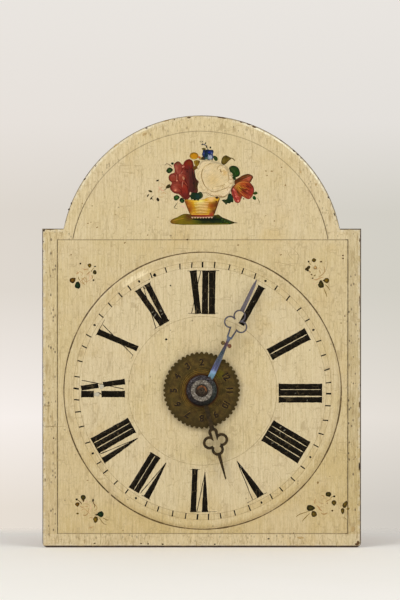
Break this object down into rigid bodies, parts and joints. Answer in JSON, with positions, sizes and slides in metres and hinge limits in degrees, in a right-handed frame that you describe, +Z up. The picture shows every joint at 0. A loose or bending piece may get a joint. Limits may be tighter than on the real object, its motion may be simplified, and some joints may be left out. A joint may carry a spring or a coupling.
{
  "type": "shield clock",
  "caption": "Wooden shield clock with a painted arched board, pierced hands, an alarm disc and a chain-driven wooden movement with bell behind it",
  "frame": {"origin": "the point under the middle of the board's rear plane, on the surface that the clock stands on", "axes": "+X to the right as seen from the front, +Y back from the painted board towards the wall, +Z up"},
  "size_m": [0.24, 0.1506, 0.3252],
  "materials": {
    "lacquered_board": "aged cream lacquer over thin softwood, fine crackle, worn edges",
    "alarm_disc_brass": "cast brass, dark brown tarnish, turned grooves",
    "hour_hand_iron": "flat sheet steel, brown rust patina",
    "minute_hand_steel": "blued steel, violet and blue, worn bright in places",
    "washer_steel": "worn bright steel",
    "tube_brass": "worn brass",
    "stud_steel": "dark turned steel",
    "wheel_brass": "cast brass, satin",
    "arbor_steel": "drawn steel wire",
    "spring_brass": "hard brass strip",
    "spring_steel": "spring steel strip",
    "sprocket_wood": "turned fruitwood",
    "anchor_steel": "filed steel sheet",
    "hammer_steel": "forged iron",
    "bell_bronze": "bell bronze, dull",
    "iron_fitting": "blackened iron",
    "frame_beech": "aged beech, waxed by smoke and handling",
    "frame_fir": "aged fir board, bare",
    "knob_wood": "turned dark hardwood",
    "bush_brass": "brass tube"
  },
  "bodies": {
    "movement_frame": {"shield_board": "lacquered_board", "shield_batten_top": "frame_beech", "shield_batten_bottom": "frame_beech", "centre_stud": "stud_steel", "pendulum_hook": "iron_fitting", "bell": "bell_bronze", "bell_stand": "iron_fitting", "bell_nut": "iron_fitting", "bottom_board": "frame_beech", "top_board": "frame_beech", "front_plate": "frame_beech", "middle_plate": "frame_beech", "rear_plate": "frame_beech", "corner_posts": "frame_beech", "back_board": "frame_fir", "back_board_nails": "iron_fitting", "door_pins": "iron_fitting", "hanging_plate": "iron_fitting", "hanging_screws": "iron_fitting", "wall_spacers": "knob_wood", "bushes": "bush_brass"},
    "minute_group": {"minute_hand": "minute_hand_steel", "hand_washer": "washer_steel", "cannon_tube": "tube_brass", "cannon_wheel": "wheel_brass"},
    "hour_group": {"hour_hand": "hour_hand_iron", "hour_wheel": "wheel_brass"},
    "alarm_setter": {"alarm_disc": "alarm_disc_brass", "alarm_tube": "tube_brass", "alarm_cam": "wheel_brass"},
    "change_group": {"change_wheel": "wheel_brass", "change_pinion": "wheel_brass"},
    "great_group": {"great_arbor": "arbor_steel", "great_wheel": "wheel_brass", "going_click_spring": "spring_steel", "friction_spring": "spring_brass"},
    "going_sprocket": {"going_sprocket": "sprocket_wood"},
    "going_click": {"going_click": "anchor_steel"},
    "second_group": {"second_arbor": "arbor_steel", "second_wheel": "wheel_brass"},
    "escape_group": {"escape_arbor": "arbor_steel", "escape_wheel": "wheel_brass"},
    "anchor_group": {"anchor_arbor": "arbor_steel", "anchor": "anchor_steel", "crutch": "iron_fitting"},
    "alarm_wheel_group": {"alarm_arbor": "arbor_steel", "alarm_wheel": "wheel_brass", "alarm_click_spring": "spring_steel"},
    "alarm_sprocket": {"alarm_sprocket": "sprocket_wood"},
    "alarm_click": {"alarm_click": "anchor_steel"},
    "hammer_group": {"hammer_arbor": "arbor_steel", "alarm_pallets": "anchor_steel", "hammer": "hammer_steel"},
    "release_lever": {"release_lever": "arbor_steel"},
    "door_left": {"door_left": "frame_fir", "knob_left": "knob_wood"},
    "door_right": {"door_right": "frame_fir", "knob_right": "knob_wood"},
    "shield_pin_left": {"shield_pin_left": "knob_wood"},
    "shield_pin_right": {"shield_pin_right": "knob_wood"}
  },
  "joints": [
    {"name": "minute_hand_turn", "type": "hinge", "parent": "movement_frame", "child": "minute_group", "pos_m": [0, -0.017, 0.1185], "axis": [0, 1, 0], "continuous": true},
    {"name": "hour_hand_turn", "type": "hinge", "parent": "movement_frame", "child": "hour_group", "pos_m": [0, -0.015, 0.1185], "axis": [0, 1, 0], "continuous": true},
    {"name": "change_wheel_turn", "type": "hinge", "parent": "movement_frame", "child": "change_group", "pos_m": [0, 0.008, 0.0795], "axis": [0, 1, 0], "continuous": true},
    {"name": "alarm_disc_turn", "type": "hinge", "parent": "hour_group", "child": "alarm_setter", "pos_m": [0, -0.0126, 0.1185], "axis": [0, 1, 0], "continuous": true},
    {"name": "second_wheel_turn", "type": "hinge", "parent": "movement_frame", "child": "second_group", "pos_m": [0.0146, 0.04, 0.11284], "axis": [0, 1, 0], "continuous": true},
    {"name": "great_wheel_turn", "type": "hinge", "parent": "movement_frame", "child": "great_group", "pos_m": [0, 0.03, 0.0795], "axis": [0, 1, 0], "continuous": true},
    {"name": "escape_wheel_turn", "type": "hinge", "parent": "movement_frame", "child": "escape_group", "pos_m": [0, 0.04, 0.13698], "axis": [0, 1, 0], "continuous": true},
    {"name": "anchor_rock", "type": "hinge", "parent": "movement_frame", "child": "anchor_group", "pos_m": [0, 0.06, 0.16098], "axis": [0, 1, 0], "range_deg": [-3, 3]},
    {"name": "going_sprocket_turn", "type": "hinge", "parent": "great_group", "child": "going_sprocket", "pos_m": [0, 0.038, 0.0795], "axis": [0, 1, 0], "continuous": true},
    {"name": "going_click_lift", "type": "hinge", "parent": "great_group", "child": "going_click", "pos_m": [-0.01196, 0.03, 0.092], "axis": [0, -1, 0], "range_deg": [0, 14]},
    {"name": "alarm_wheel_turn", "type": "hinge", "parent": "movement_frame", "child": "alarm_wheel_group", "pos_m": [0.02, 0.089, 0.068], "axis": [0, 1, 0], "continuous": true},
    {"name": "alarm_sprocket_turn", "type": "hinge", "parent": "alarm_wheel_group", "child": "alarm_sprocket", "pos_m": [0.02, 0.079, 0.068], "axis": [0, 1, 0], "continuous": true},
    {"name": "alarm_click_lift", "type": "hinge", "parent": "alarm_wheel_group", "child": "alarm_click", "pos_m": [0.01129, 0.087, 0.0735], "axis": [0, -1, 0], "range_deg": [0, 16]},
    {"name": "hammer_swing", "type": "hinge", "parent": "movement_frame", "child": "hammer_group", "pos_m": [0.03, 0.086, 0.105], "axis": [0, 1, 0], "range_deg": [0, 10]},
    {"name": "release_lift", "type": "hinge", "parent": "movement_frame", "child": "release_lever", "pos_m": [-0.038, 0.05, 0.135], "axis": [0, -1, 0], "range_deg": [-7, 0]},
    {"name": "door_left_swing", "type": "hinge", "parent": "movement_frame", "child": "door_left", "pos_m": [-0.066, 0.112, 0.095], "axis": [0, 0, -1], "range_deg": [0, 95]},
    {"name": "door_right_swing", "type": "hinge", "parent": "movement_frame", "child": "door_right", "pos_m": [0.066, 0.112, 0.095], "axis": [0, 0, 1], "range_deg": [0, 95]},
    {"name": "shield_pin_left_pull", "type": "slide", "parent": "movement_frame", "child": "shield_pin_left", "axis": [0, 0, 1], "range_m": [0, 0.025]},
    {"name": "shield_pin_right_pull", "type": "slide", "parent": "movement_frame", "child": "shield_pin_right", "axis": [0, 0, 1], "range_m": [0, 0.025]}
  ],
  "couplings": [
    {"joint": "hour_hand_turn", "follows": "minute_hand_turn", "ratio": 0.083333},
    {"joint": "change_wheel_turn", "follows": "minute_hand_turn", "ratio": -0.5},
    {"joint": "great_wheel_turn", "follows": "second_wheel_turn", "ratio": -0.083333},
    {"joint": "escape_wheel_turn", "follows": "second_wheel_turn", "ratio": -12}
  ]
}
